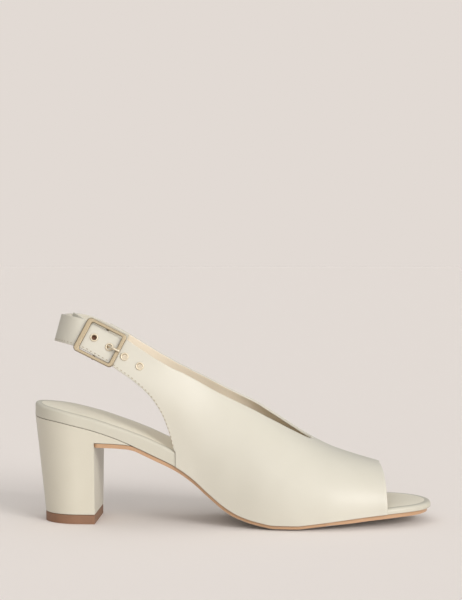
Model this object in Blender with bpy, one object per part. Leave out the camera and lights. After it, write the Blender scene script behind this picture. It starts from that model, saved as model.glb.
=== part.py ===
"""Right-foot peep-toe slingback sandal with a covered block heel.

Design axes: X runs from the back of the heel seat to the toe, Y from the outer (lateral, negative) to the
inner (medial, positive) side, Z up from the floor. At the end every piece is shifted together, so that the
origin lies on the floor under the middle of the whole sandal.
"""
import math

import bmesh
import bpy
from mathutils import Vector

MM = 0.001

# Main sizes of the sandal
LENGTH = 240 * MM
BALL_WIDTH = 80 * MM
HEEL_RISE = 60.6 * MM
TOE_SPRING = 5.8 * MM
INSTEP = 47 * MM
GAP = 0.3 * MM

# Sole, footbed and sock
OUTSOLE_T = 2.7 * MM
OUTSOLE_INSET = 1.0 * MM
OUTSOLE_TOE_SETBACK = 2.0 * MM
RAND_TOE = 3.4 * MM
RAND_WAIST = 8.8 * MM
RIM_RADIUS = 1.9 * MM
HEEL_ROUND = 27 * MM
TOE_ROUND = 32 * MM
SOCK_T = 0.7 * MM
SOCK_INSET = 2.6 * MM
RAND_STEP = 1.2 * MM
END_STATIONS = 7
MIDDLE_STATIONS = 28

# Heel
BREAST_X = 0.1608 * LENGTH
WEDGE_T = 7.2 * MM
HEEL_TREAD_SHIFT = 6.4 * MM
HEEL_TREAD_SHARE = 0.79
TOP_PIECE_T = 5.4 * MM
HEEL_CORNER = 2.5 * MM
TONGUE_TIP = 0.250

# Upper
WALL = 1.6 * MM
QUARTER_BACK_X = 0.3642 * LENGTH
OPENING_X = 0.8817 * LENGTH
RIDGE_Y = 1.5 * MM
SQUARENESS = 0.8

# Sling, tab and buckle
STRAP_WIDTH = 15.0 * MM
TAB_EXTRA = 1.7 * MM
SLING_T = 1.3 * MM
SLING_LAP = 12 * MM
SLING_TAIL = 30.5 * MM
SLING_TAIL_LIFT = 2.6 * MM
LOOP_BACK_X = 0.0633 * LENGTH
LOOP_ROUND = 16.6 * MM
LOOP_HALF_WIDTH = 26.5 * MM
LOOP_FLARE = 0.04
STRAP_RISE = 45.5 * MM
STRAP_FALL = 132 * MM
STRAP_BEND_END_X = 0.1667 * LENGTH
STRAP_LEAN = math.radians(15)
STRAP_START_X = 0.2167 * LENGTH
STRAP_PLANE_FULL = 0.2875 * LENGTH
STRAP_PLANE_START = 0.4833 * LENGTH
TAB_REACH = 34 * MM
MEDIAL_BAND_END = -4 * MM
BUCKLE_X = 0.1792 * LENGTH
BUCKLE_TURN = math.radians(2.5)
BUCKLE_DROP = 1.0 * MM
BUCKLE_LENGTH = 25.8 * MM
BUCKLE_WIDTH = 21.8 * MM
BUCKLE_DEPTH = 1.9 * MM
BUCKLE_RAIL = 2.0 * MM
BUCKLE_BACK_BAR = 3.2 * MM
BUCKLE_FRONT_BAR = 2.5 * MM
BUCKLE_CORNER = 2.4 * MM
PIN_RADIUS = 0.8 * MM
BAR_DEPTH = 3.0 * MM
PRONG_RADIUS = 0.7 * MM
PRONG_EYELET_OFFSET = 5.9 * MM
EYELET_PITCH = 10.4 * MM
EYELET_RADIUS = 2.45 * MM
EYELET_BORE = 1.5 * MM
EYELET_WALL = 0.3 * MM
EYELET_COUNT = 4
EYELET_ROW_SLOPE = 0.06

# Plan of the footbed: share of the length, lateral and medial half widths as shares of the ball width
PLAN = (
    (0.00, 0.345, 0.345),
    (0.10, 0.345, 0.345),
    (0.20, 0.350, 0.330),
    (0.30, 0.350, 0.300),
    (0.40, 0.362, 0.280),
    (0.50, 0.430, 0.305),
    (0.60, 0.505, 0.390),
    (0.66, 0.522, 0.435),
    (0.73, 0.505, 0.470),
    (0.80, 0.450, 0.478),
    (0.87, 0.385, 0.468),
    (0.94, 0.350, 0.455),
    (1.00, 0.345, 0.450),
)

# Side view of the footbed's underside: share of the length, share of the heel rise
RISE = (
    (0.000, 1.000),
    (0.068, 0.964),
    (0.120, 0.918),
    (0.155, 0.883),
    (0.206, 0.818),
    (0.244, 0.757),
    (0.305, 0.645),
    (0.365, 0.530),
    (0.405, 0.422),
    (0.447, 0.279),
    (0.490, 0.147),
    (0.518, 0.086),
    (0.548, 0.045),
    (0.578, 0.018),
    (0.608, 0.000),
    (1.000, 0.000),
)

# Toe spring: share of the length, share of the spring
SPRING = (
    (0.667, 0.00),
    (0.713, 0.22),
    (0.780, 0.52),
    (0.850, 0.78),
    (0.920, 0.96),
    (1.000, 1.00),
)

# Rand: share of the length, share of the way from the toe's thickness to the waist's
RAND = (
    (0.00, 0.93),
    (0.05, 0.75),
    (0.10, 0.69),
    (0.20, 0.68),
    (0.25, 0.82),
    (0.30, 0.98),
    (0.36, 1.00),
    (0.42, 0.85),
    (0.50, 0.42),
    (0.56, 0.14),
    (0.62, 0.03),
    (1.00, 0.00),
)

# Tongue of the heel between footbed and outsole: share of the length, share of its thickness
WEDGE = (
    (0.160, 1.00),
    (0.183, 0.79),
    (0.206, 0.55),
    (0.225, 0.35),
    (0.244, 0.13),
    (0.262, 0.00),
)

# Top line of the last: share of the length, share of the instep, share of the heel rise, swell of the side
# beyond the footbed as a share of the ball width
LAST = (
    (0.15, 1.75, 0.88, 0.085),
    (0.25, 1.73, 0.80, 0.070),
    (0.31, 1.71, 0.68, 0.032),
    (0.365, 1.69, 0.55, 0.000),
    (0.46, 1.50, 0.36, 0.000),
    (0.545, 1.335, 0.20, 0.000),
    (0.595, 1.245, 0.11, 0.000),
    (0.66, 1.095, 0.05, 0.000),
    (0.705, 0.996, 0.02, 0.000),
    (0.76, 0.89, 0.00, 0.000),
    (0.81, 0.805, 0.00, 0.000),
    (0.86, 0.73, 0.00, 0.000),
    (0.90, 0.67, 0.00, 0.000),
)

# Ribs of the upper from the toe opening back: rib, upper end's share of the length and of the quarter turn
# from footbed to ridge, lower end's share of the length and of the quarter turn, and how much further the
# medial side's upper end turns
RIBS = (
    (0, 0.868, 1.000, OPENING_X / LENGTH, 0.000, 0.000),
    (1, 0.820, 1.000, 0.834, 0.000, 0.000),
    (2, 0.765, 1.000, 0.770, 0.000, 0.000),
    (3, 0.704, 1.000, 0.700, 0.000, 0.000),
    (4, 0.692, 0.900, 0.684, 0.000, 0.090),
    (5, 0.644, 0.828, 0.618, 0.000, 0.110),
    (6, 0.587, 0.768, 0.545, 0.000, 0.104),
    (7, 0.518, 0.674, 0.474, 0.000, 0.055),
    (8, 0.452, 0.584, 0.412, 0.000, 0.033),
    (9, 0.386, 0.507, QUARTER_BACK_X / LENGTH, 0.000, 0.001),
    (10, 0.348, 0.484, 0.350, 0.078, -0.002),
    (11, 0.317, 0.483, 0.331, 0.170, -0.006),
    (12, 0.290, 0.489, 0.303, 0.235, -0.010),
    (13, 0.267, 0.496, 0.264, 0.272, -0.013),
    (14, 0.245, 0.516, 0.223, 0.304, -0.020),
)


def smooth(table, column, share):
    """Value of one column at a share of the length, on a smooth curve that never overshoots its rows."""
    xs = [row[0] for row in table]
    ys = [row[column] for row in table]
    if share <= xs[0]:
        return ys[0]
    if share >= xs[-1]:
        return ys[-1]
    steps = [(ys[i + 1] - ys[i]) / (xs[i + 1] - xs[i]) for i in range(len(xs) - 1)]
    slopes = [steps[0]]
    for before, after in zip(steps, steps[1:]):
        slopes.append(0.0 if before * after <= 0 else 2 * before * after / (before + after))
    slopes.append(steps[-1])
    i = max(k for k in range(len(xs) - 1) if xs[k] <= share)
    span = xs[i + 1] - xs[i]
    t = (share - xs[i]) / span
    rise = ys[i + 1] - ys[i]
    return (ys[i] + t * t * (3 - 2 * t) * rise
            + t * (1 - t) * span * ((1 - t) * slopes[i] - t * slopes[i + 1]))


def mix(a, b, t):
    return a + (b - a) * t


def blend(t):
    t = min(max(t, 0.0), 1.0)
    return t * t * (3 - 2 * t)


# Heights along the sandal


def seat_line(x):
    """Underside of the footbed."""
    share = x / LENGTH
    return (OUTSOLE_T + GAP + HEEL_RISE * smooth(RISE, 1, share)
            + TOE_SPRING * smooth(SPRING, 1, share))


def sole_top(x):
    return seat_line(x) - GAP - WEDGE_T * smooth(WEDGE, 1, x / LENGTH)


def sole_bottom(x):
    return sole_top(x) - OUTSOLE_T


def bed_top(x):
    return seat_line(x) + mix(RAND_TOE, RAND_WAIST, smooth(RAND, 1, x / LENGTH))


def ridge_line(x):
    """Top line of the last, over instep and toes."""
    share = x / LENGTH
    return INSTEP * smooth(LAST, 1, share) + HEEL_RISE * smooth(LAST, 2, share)


# Plan outline


def end_round(x):
    """Falls from one to nought round the heel seat and the toe."""
    if x < HEEL_ROUND:
        return math.sqrt(max(0.0, 1 - ((HEEL_ROUND - x) / HEEL_ROUND) ** 2))
    toe = (x - (LENGTH - TOE_ROUND)) / TOE_ROUND
    return math.sqrt(max(0.0, 1 - max(0.0, toe) ** 2))


def centre_y(x):
    share = x / LENGTH
    return BALL_WIDTH * (smooth(PLAN, 2, share) - smooth(PLAN, 1, share)) / 2


def edge_y(x, side, inset=0.0):
    """Y of the footbed's edge on the lateral (-1) or medial (+1) side."""
    share = x / LENGTH
    half = BALL_WIDTH * (smooth(PLAN, 1, share) + smooth(PLAN, 2, share)) / 2
    return centre_y(x) + side * max(0.0, half * end_round(x) - inset)


def stations(first=0.0, last=LENGTH, extra=()):
    """Stations along X between two places: closer round heel and toe, shared by all layers of the bottom."""
    found = {first, last, *extra}
    for k in range(END_STATIONS):
        turn = k / END_STATIONS * math.pi / 2
        found.add(HEEL_ROUND * (1 - math.cos(turn)))
        found.add(LENGTH - TOE_ROUND * (1 - math.cos(turn)))
    middle = LENGTH - TOE_ROUND - HEEL_ROUND
    found.update(HEEL_ROUND + middle * k / MIDDLE_STATIONS for k in range(MIDDLE_STATIONS + 1))
    return sorted(x for x in found if first <= x <= last)


# Meshes


def add_grid(bm, rows):
    """Faces between rows of points; rows may close on themselves by repeating their first point."""
    made = [[bm.verts.new(point) for point in row] for row in rows]
    for low, high in zip(made, made[1:]):
        for k in range(len(low) - 1):
            bm.faces.new((low[k], low[k + 1], high[k + 1], high[k]))


def finish_solid(name, bm, material, modifiers=()):
    """Weld the grids into one closed body, face it outwards and make its object."""
    bmesh.ops.remove_doubles(bm, verts=bm.verts, dist=0.002 * MM)
    bmesh.ops.dissolve_degenerate(bm, edges=bm.edges, dist=0.002 * MM)
    bmesh.ops.recalc_face_normals(bm, faces=bm.faces)
    mesh = bpy.data.meshes.new(name)
    bm.to_mesh(mesh)
    bm.free()
    mesh.shade_smooth()
    mesh.set_sharp_from_angle(angle=math.radians(40))
    mesh.materials.append(material)
    made = bpy.data.objects.new(name, mesh)
    bpy.context.collection.objects.link(made)
    for kind, settings in modifiers:
        modifier = made.modifiers.new(kind.title(), kind)
        for key, value in settings.items():
            setattr(modifier, key, value)
    return made


def paint(name, colour, roughness, metallic=0.0):
    material = bpy.data.materials.new(name)
    material.use_nodes = True
    shader = material.node_tree.nodes["Principled BSDF"]
    shader.inputs["Base Color"].default_value = (*colour, 1.0)
    shader.inputs["Roughness"].default_value = roughness
    shader.inputs["Metallic"].default_value = metallic
    return material


def across(a, b, parts=2):
    return [a.lerp(b, k / parts) for k in range(parts + 1)]


def slab(name, xs, rings, material, edge=edge_y, first=HEEL_ROUND, last=LENGTH - TOE_ROUND):
    """Solid between rings that follow the plan outline; each ring is an inset and a height along X.

    An inset runs towards the spine, a line in the middle of the sole between two places along X.
    """
    loops = []
    for inset, height in rings:
        sides = []
        for side in (-1, 1):
            row = []
            for x in xs:
                rim = Vector((x, edge(x, side)))
                middle_x = min(max(x, first), last)
                middle = Vector((middle_x, centre_y(middle_x)))
                rim = rim.lerp(middle, inset / (middle - rim).length)
                row.append(Vector((rim.x, rim.y, height(rim.x))))
            sides.append(row)
        loops.append(sides)
    bm = bmesh.new()
    for side in (0, 1):
        add_grid(bm, [sides[side] for sides in loops])
    for sides in (loops[0], loops[-1]):
        add_grid(bm, [across(a, b) for a, b in zip(*sides)])
    for end in (0, -1):
        if (loops[0][0][end] - loops[0][1][end]).length > GAP:
            add_grid(bm, [across(sides[0][end], sides[1][end]) for sides in loops])
    return finish_solid(name, bm, material)


# Sole, footbed and sock


def make_outsole(material):
    first = BREAST_X
    last = LENGTH - OUTSOLE_TOE_SETBACK

    def edge(x, side):
        corner = max(0.0, 1 - (x - first) / HEEL_CORNER)
        inset = OUTSOLE_INSET + HEEL_CORNER * (1 - math.sqrt(1 - corner ** 2))
        shift = OUTSOLE_TOE_SETBACK * blend((x - first) / (last - first))
        return edge_y(x + shift, side, inset if x < last else LENGTH)

    corner_stations = [first + HEEL_CORNER * (1 - math.cos(k * math.pi / 6)) for k in range(4)]
    rings = ((0.0, sole_bottom), (0.0, sole_top))
    return slab("outsole", stations(first, last, corner_stations), rings, material, edge)


def rand_inset(x):
    """The rand steps in where the upper covers it."""
    ramp = GAP
    behind = blend((x - (QUARTER_BACK_X - GAP - ramp)) / ramp)
    ahead = blend(((OPENING_X + GAP + ramp) - x) / ramp)
    return RAND_STEP * min(behind, ahead)


def make_footbed(material):
    rear = QUARTER_BACK_X - GAP
    front = OPENING_X + GAP
    rings = [(0.0, seat_line)]
    for k in range(4):
        turn = k * math.pi / 6
        drop = RIM_RADIUS * (1 - math.sin(turn))
        rings.append((RIM_RADIUS * (1 - math.cos(turn)), lambda x, drop=drop: bed_top(x) - drop))
    xs = stations(extra=(rear - GAP, rear, front, front + GAP))
    return slab("footbed", xs, rings, material, lambda x, side: edge_y(x, side, rand_inset(x)))


def make_sock(material):
    inset = SOCK_INSET + RAND_STEP
    rings = (
        (inset, lambda x: bed_top(x) + GAP),
        (inset, lambda x: bed_top(x) + GAP + 0.6 * SOCK_T),
        (inset + SOCK_T / 2, lambda x: bed_top(x) + GAP + SOCK_T),
    )
    return slab("insole_sock", stations(), rings, material)


# Heel


def heel_point(x, side, level, top):
    """Point on the heel's side wall: level 0 at the footbed, 1 at the tread end of the block."""
    foot = TOP_PIECE_T + GAP
    z = mix(top, foot, level)
    fall = (seat_line(x) - GAP - z) / (seat_line(x) - GAP - foot)
    shrink = mix(1.0, HEEL_TREAD_SHARE, fall)
    along = x / BREAST_X
    return Vector((x + HEEL_TREAD_SHIFT * fall * (1 - along), edge_y(x, side, GAP) * shrink, z))


def tongue_point(x, side, z):
    """Point on the side of the heel's thin forward tongue, which carries on the heel's taper."""
    y = heel_point(x, side, 0.0, z).y
    return Vector((x, y, z))


def make_heel_block(material):
    xs = stations(0.0, BREAST_X)
    levels = [k / 4 for k in range(5)]
    top = {x: seat_line(x) - GAP for x in xs}
    shelf = {x: top[x] - WEDGE_T + GAP for x in xs}
    bm = bmesh.new()
    for side in (-1, 1):
        rows = [[heel_point(x, side, 0.0, top[x]) for x in xs]]
        rows += [[heel_point(x, side, level, shelf[x]) for x in xs] for level in levels]
        add_grid(bm, rows)
    add_grid(bm, [across(heel_point(x, -1, 0.0, top[x]), heel_point(x, 1, 0.0, top[x])) for x in xs])
    add_grid(bm, [across(heel_point(x, -1, 1.0, shelf[x]), heel_point(x, 1, 1.0, shelf[x])) for x in xs])
    breast = xs[-1]
    add_grid(bm, [across(heel_point(breast, -1, level, shelf[breast]),
                         heel_point(breast, 1, level, shelf[breast])) for level in levels])
    tip = TONGUE_TIP * LENGTH
    tongue = stations(breast, tip)
    upper_rows = []
    lower_rows = []
    for x in tongue:
        high = seat_line(x) - GAP
        low = shelf[breast] if x == breast else min(high, sole_top(x) + GAP)
        upper_rows.append(across(tongue_point(x, -1, high), tongue_point(x, 1, high)))
        lower_rows.append(across(tongue_point(x, -1, low), tongue_point(x, 1, low)))
    add_grid(bm, upper_rows)
    add_grid(bm, lower_rows)
    add_grid(bm, [[row[0] for row in upper_rows], [row[0] for row in lower_rows]])
    add_grid(bm, [[row[-1] for row in upper_rows], [row[-1] for row in lower_rows]])
    add_grid(bm, [upper_rows[-1], lower_rows[-1]])
    return finish_solid("heel_block", bm, material)


def make_top_piece(material):
    xs = stations(0.0, BREAST_X)
    foot = TOP_PIECE_T + GAP
    bm = bmesh.new()
    loops = []
    for z in (0.0, TOP_PIECE_T):
        loop = []
        for side in (-1, 1):
            points = [heel_point(x, side, 1.0, foot) for x in xs]
            for point in points:
                point.z = z
            loop.append(points)
        loops.append(loop)
    for low, high in zip(loops[0], loops[1]):
        add_grid(bm, [low, high])
    for loop in loops:
        add_grid(bm, [across(a, b) for a, b in zip(loop[0], loop[1])])
    add_grid(bm, [across(loop[0][-1], loop[1][-1]) for loop in loops])
    return finish_solid("heel_top_piece", bm, material)


# Loop of the strap round the ankle


def loop_plan(distance):
    """Point and heading of the loop in plan, by the distance from the back; positive is the lateral side."""
    side = -1 if distance >= 0 else 1
    distance = abs(distance)
    centre_x = LOOP_BACK_X + LOOP_ROUND
    count = 60
    angle = 0.0
    walked = 0.0
    step = math.pi / 2 / count
    while angle < math.pi / 2:
        length = math.hypot(LOOP_ROUND * math.sin(angle + step / 2), LOOP_HALF_WIDTH * math.cos(angle + step / 2)) * step
        if walked + length > distance:
            angle += step * (distance - walked) / length
            break
        walked += length
        angle += step
    angle = min(angle, math.pi / 2)
    x = centre_x - LOOP_ROUND * math.cos(angle)
    y = LOOP_HALF_WIDTH * math.sin(angle)
    heading = Vector((LOOP_ROUND * math.sin(angle), LOOP_HALF_WIDTH * math.cos(angle)))
    heading.normalize()
    if angle >= math.pi / 2:
        on = (distance - walked)
        x += on
        y += LOOP_FLARE * on
        heading = Vector((1.0, LOOP_FLARE)).normalized()
    return Vector((x, side * y)), Vector((heading.x, side * heading.y)), side


def loop_height(x):
    """Height of the strap's centre line: level behind the heel, then bending down to a straight fall.

    The straight part would fall by a named height over the whole length.
    """
    bend = STRAP_BEND_END_X - LOOP_BACK_X
    along = max(0.0, x - LOOP_BACK_X)
    fall = along ** 2 / (2 * bend) if along < bend else along - bend / 2
    return bed_top(0.0) + STRAP_RISE - STRAP_FALL * fall / LENGTH


def loop_frame(distance):
    """Centre, heading, outward normal and upward vector of the strap."""
    place, heading, side = loop_plan(distance)
    ahead, unused_heading, unused_side = loop_plan(distance + (0.5 * MM if distance >= 0 else -0.5 * MM))
    centre = Vector((place.x, place.y, loop_height(place.x)))
    after = Vector((ahead.x, ahead.y, loop_height(ahead.x)))
    forward = (after - centre).normalized()
    flat_out = Vector((-heading.y, heading.x, 0.0)) * side
    up = (Vector((0, 0, 1)) - forward * forward.z).normalized()
    out = (flat_out - forward * flat_out.dot(forward)).normalized()
    lean_up = up * math.cos(STRAP_LEAN) - out * math.sin(STRAP_LEAN)
    lean_out = out * math.cos(STRAP_LEAN) + up * math.sin(STRAP_LEAN)
    return centre, forward, lean_out, lean_up


def loop_distance(x):
    """Distance along the loop, from the back, at which its side reaches X."""
    low, high = 0.0, LENGTH
    for unused in range(40):
        middle = (low + high) / 2
        if loop_plan(middle)[0].x < x:
            low = middle
        else:
            high = middle
    return low


# Upper


def last_point(x, turn, side):
    """Point on the last: turn 0 at the footbed's edge, 1 on the ridge."""
    angle = turn * math.pi / 2
    base = edge_y(x, side, RAND_STEP - GAP) + side * BALL_WIDTH * smooth(LAST, 3, x / LENGTH)
    spread = max(0.0, math.cos(angle)) ** SQUARENESS
    y = RIDGE_Y + (base - RIDGE_Y) * spread
    z = mix(bed_top(x), ridge_line(x), math.sin(angle))
    return Vector((x, y, z))


def quarter_point(x, turn, side):
    """Point on the last, brought onto the plane of the strap as it nears the ankle."""
    point = last_point(x, turn, side)
    near = blend((STRAP_PLANE_START - x) / (STRAP_PLANE_START - STRAP_PLANE_FULL)) * blend(turn / 0.3)
    if near == 0:
        return point
    centre, unused_forward, out, unused_up = loop_frame(-side * loop_distance(x))
    height = STRAP_WIDTH * math.tanh((point.z - centre.z) / STRAP_WIDTH)
    flat = centre.y - out.z * height / out.y
    return Vector((x, mix(point.y, flat, near), point.z))


def corner_rib():
    """The last rib whose lower end stands on the footbed's edge."""
    return max(row[0] for row in RIBS if row[4] == 0)


def rib(number, side, parts):
    """Points of one rib of the quarter or vamp, from its lower to its upper end; the first one curves."""
    high_x, high_turn, low_x, low_turn, medial_turn = (smooth(RIBS, k, number) for k in range(1, 6))
    high_turn += medial_turn if side > 0 else 0.0
    points = []
    for k in range(parts + 1):
        t = k / parts
        along = 1 - math.cos(t * math.pi / 2) if number < 1 else t
        x = mix(low_x, high_x, mix(along, t, min(number, 1))) * LENGTH
        points.append(quarter_point(x, mix(low_turn, high_turn, t), side))
    return points


def strap_rib(distance, parts):
    """Points across the tab, which reaches a little further down than the sling."""
    centre, unused_forward, unused_out, up = loop_frame(distance)
    low = -STRAP_WIDTH / 2 - TAB_EXTRA
    return [centre + up * mix(low, STRAP_WIDTH / 2, k / parts) for k in range(parts + 1)]


def upper_side(side, reach):
    """Ribs of one side: vamp, quarter and the band beside the ankle, which ends at a distance on the loop."""
    parts = 9
    rows = [rib(k / 3, side, parts) for k in range(3 * (len(RIBS) - 1) + 1)]
    start = loop_distance(STRAP_START_X)
    count = round((start - reach) / (4 * MM))
    for k in range(count + 1):
        rows.append(strap_rib(-side * mix(start, reach, k / count), parts))
    return rows


def make_upper(material, cutter):
    bm = bmesh.new()
    buckle = loop_distance(BUCKLE_X)
    for side, reach in ((-1, buckle - TAB_REACH), (1, buckle + MEDIAL_BAND_END)):
        rows = upper_side(side, reach)
        add_grid(bm, rows)
        skirt = []
        for row in rows[:3 * corner_rib() + 1]:
            foot = Vector((row[0].x, row[0].y, seat_line(row[0].x)))
            skirt.append([foot.lerp(row[0], k / 2) for k in range(3)])
        add_grid(bm, skirt)
    wall = ("SOLIDIFY", {"thickness": WALL, "offset": 1.0, "use_even_offset": True, "use_rim": True})
    holes = ("BOOLEAN", {"object": cutter, "operation": "DIFFERENCE", "solver": "EXACT"})
    return finish_solid("upper", bm, material, (wall, holes))


# Sling, buckle and eyelets


def strap_point(distance, outward, upward):
    centre, unused_forward, out, up = loop_frame(distance)
    return centre + out * outward + up * upward


def sling_path():
    """The sling from its lapped medial end to its folded tail: distance, outward, heading of its face, lift."""
    buckle = loop_distance(BUCKLE_X)
    layer = -GAP - SLING_T / 2
    fold = layer + BAR_DEPTH
    start = -(buckle + MEDIAL_BAND_END + SLING_LAP)
    count = round((buckle - start) / (4 * MM))
    path = [(mix(start, buckle, k / count), layer, 0.0, 0.0) for k in range(count)]
    for k in range(7):
        turn = math.pi * k / 6
        path.append((buckle + fold * math.sin(turn), fold * math.cos(turn) - BAR_DEPTH, turn, 0.0))
    for k in range(1, 6):
        path.append((buckle - SLING_TAIL * k / 5, -fold - BAR_DEPTH, math.pi, SLING_TAIL_LIFT * k / 5))
    return path


def make_sling(material, cutter):
    bm = bmesh.new()
    loops = []
    faces = []
    for distance, outward, turn, lift in sling_path():
        skins = []
        for half in (SLING_T / 2, -SLING_T / 2):
            skins.append([strap_point(distance + half * math.sin(turn), outward + half * math.cos(turn),
                                      lift + STRAP_WIDTH * (k / 4 - 0.5)) for k in range(5)])
        faces.append(skins)
        loops.append(skins[0] + skins[1][::-1] + skins[0][:1])
    add_grid(bm, loops)
    add_grid(bm, faces[0])
    add_grid(bm, faces[-1])
    slot = ("BOOLEAN", {"object": cutter, "operation": "DIFFERENCE", "solver": "EXACT"})
    return finish_solid("sling_strap", bm, material, (slot,))


def buckle_frame_of_reference():
    """Centre, length axis, outward normal and width axis of the buckle, which sits slightly turned."""
    centre, forward, out, up = loop_frame(loop_distance(BUCKLE_X))
    turned_forward = forward * math.cos(BUCKLE_TURN) + up * math.sin(BUCKLE_TURN)
    turned_up = up * math.cos(BUCKLE_TURN) - forward * math.sin(BUCKLE_TURN)
    return centre - up * BUCKLE_DROP, turned_forward, out, turned_up


def on_buckle(along, outward, upward):
    centre, forward, out, up = buckle_frame_of_reference()
    return centre + forward * along + out * outward + up * upward


def rounded_rectangle(low, high, half_width, radius, steps=5):
    points = []
    corners = ((high - radius, half_width - radius, 0), (low + radius, half_width - radius, 1),
               (low + radius, radius - half_width, 2), (high - radius, radius - half_width, 3))
    for x, y, quarter in corners:
        for k in range(steps):
            angle = (quarter + k / (steps - 1)) * math.pi / 2
            points.append((x + radius * math.cos(angle), y + radius * math.sin(angle)))
    return points


def tube(bm, path, radius, sides, across_axis):
    """Round rod along points that lie in one plane, whose normal is given."""
    rows = []
    for k, point in enumerate(path):
        before = path[max(k - 1, 0)]
        after = path[min(k + 1, len(path) - 1)]
        heading = (after - before).normalized()
        other = across_axis.cross(heading).normalized()
        turns = [2 * math.pi * n / sides for n in range(sides + 1)]
        rows.append([point + (across_axis * math.cos(a) + other * math.sin(a)) * radius for a in turns])
    add_grid(bm, rows)
    for row, point in ((rows[0], path[0]), (rows[-1], path[-1])):
        add_grid(bm, [row, [point] * len(row)])


def make_buckle(material):
    half = BUCKLE_LENGTH / 2
    outer = rounded_rectangle(-half, half, BUCKLE_WIDTH / 2, BUCKLE_CORNER)
    inner = rounded_rectangle(-half + BUCKLE_BACK_BAR, half - BUCKLE_FRONT_BAR,
                              BUCKLE_WIDTH / 2 - BUCKLE_RAIL, BUCKLE_CORNER / 2)
    low = WALL + GAP
    high = low + BUCKLE_DEPTH
    edge = 0.2
    bevel = edge * BUCKLE_RAIL
    section = ((0, low + bevel), (0, high - bevel), (edge, high), (1 - edge, high),
               (1, high - bevel), (1, low + bevel), (1 - edge, low), (edge, low))
    rows = []
    for share, outward in section + section[:1]:
        row = []
        for a, b in zip(outer + outer[:1], inner + inner[:1]):
            row.append(on_buckle(mix(a[0], b[0], share), outward, mix(a[1], b[1], share)))
        rows.append(row)
    bm = bmesh.new()
    add_grid(bm, rows)
    frame_steps = ("BOOLEAN", {"object": make_centre_bar(material), "operation": "UNION", "solver": "EXACT"})
    return finish_solid("buckle_frame", bm, material, (frame_steps,))


def make_centre_bar(material):
    """Bar under the tab, on two short legs that rise into the frame's long sides."""
    reach = BUCKLE_WIDTH / 2 - BUCKLE_RAIL / 2
    top = WALL + GAP + BUCKLE_DEPTH / 2
    bend = PIN_RADIUS
    path = [(top, -reach), (bend - BAR_DEPTH, -reach), (-BAR_DEPTH, bend - reach),
            (-BAR_DEPTH, reach - bend), (bend - BAR_DEPTH, reach), (top, reach)]
    bm = bmesh.new()
    forward = buckle_frame_of_reference()[1]
    tube(bm, [on_buckle(0.0, outward, upward) for outward, upward in path], PIN_RADIUS, 8, forward)
    return as_cutter(finish_solid("centre_bar", bm, material))


def prong_lift():
    """Where the prong runs across the buckle's width, to meet its eyelet."""
    return BUCKLE_DROP - EYELET_PITCH * EYELET_ROW_SLOPE - PRONG_EYELET_OFFSET * math.sin(BUCKLE_TURN)


def make_prong(material):
    """Rod that wraps the centre bar, rises through an eyelet and rests on the front bar."""
    ring = PIN_RADIUS + GAP + PRONG_RADIUS
    path = []
    for k in range(8):
        turn = math.radians(340 - 250 * k / 7)
        path.append((ring * math.cos(turn), ring * math.sin(turn) - BAR_DEPTH))
    hole = PRONG_EYELET_OFFSET
    front = WALL + GAP + BUCKLE_DEPTH + GAP + PRONG_RADIUS
    half = BUCKLE_LENGTH / 2
    path += [
        (0.55 * hole, ring - BAR_DEPTH),
        (hole - 0.9 * MM, -0.8 * MM),
        (hole - 0.3 * MM, 0.3 * WALL),
        (hole, 0.9 * WALL),
        (hole + 0.35 * MM, 1.6 * WALL),
        (hole + 1.4 * MM, front - 0.9 * MM),
        (hole + 3.0 * MM, front - 0.2 * MM),
        (half - BUCKLE_FRONT_BAR, front),
        (half, front),
    ]
    bm = bmesh.new()
    up = buckle_frame_of_reference()[3]
    lift = prong_lift()
    tube(bm, [on_buckle(along, outward, lift) for along, outward in path], PRONG_RADIUS, 8, up)
    return finish_solid("buckle_prong", bm, material)


def eyelet_distances():
    """Distance of each eyelet along the loop, from the tab's tip forwards; the second one holds the prong."""
    forward = buckle_frame_of_reference()[1]
    level = math.hypot(forward.x, forward.y)
    first = loop_distance(BUCKLE_X) + (PRONG_EYELET_OFFSET - EYELET_PITCH) * level
    return [first + EYELET_PITCH * level * k for k in range(EYELET_COUNT)]


def turned(bm, distance, profile, sides):
    """Turned ring about the outward axis of the eyelet row; the profile holds radius and outward distance."""
    centre, forward, out, up = loop_frame(distance)
    centre -= up * (EYELET_ROW_SLOPE * (distance - eyelet_distances()[0]))
    rows = []
    for radius, outward in profile:
        turns = [2 * math.pi * n / sides for n in range(sides + 1)]
        rows.append([centre + out * outward + (forward * math.cos(a) + up * math.sin(a)) * radius for a in turns])
    add_grid(bm, rows)


def make_eyelet(number, distance, material):
    foot = WALL + GAP
    sleeve = EYELET_BORE + EYELET_WALL
    profile = [(EYELET_BORE, 0.0), (EYELET_BORE, foot + 0.3 * MM), (EYELET_BORE + 0.35 * MM, foot + 0.6 * MM),
               (EYELET_RADIUS - 0.3 * MM, foot + 0.5 * MM), (EYELET_RADIUS, foot), (sleeve, foot), (sleeve, 0.0)]
    bm = bmesh.new()
    turned(bm, distance, profile + profile[:1], 14)
    return finish_solid(f"eyelet_{number}", bm, material)


def as_cutter(thing):
    thing.hide_render = True
    thing.display_type = "WIRE"
    return thing


def make_hole_cutter(material):
    bm = bmesh.new()
    radius = EYELET_BORE + EYELET_WALL + GAP
    for distance in eyelet_distances():
        turned(bm, distance, [(0.0, -WALL), (radius, -WALL), (radius, 2 * WALL), (0.0, 2 * WALL)], 14)
    return as_cutter(finish_solid("eyelet_holes", bm, material))


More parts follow.
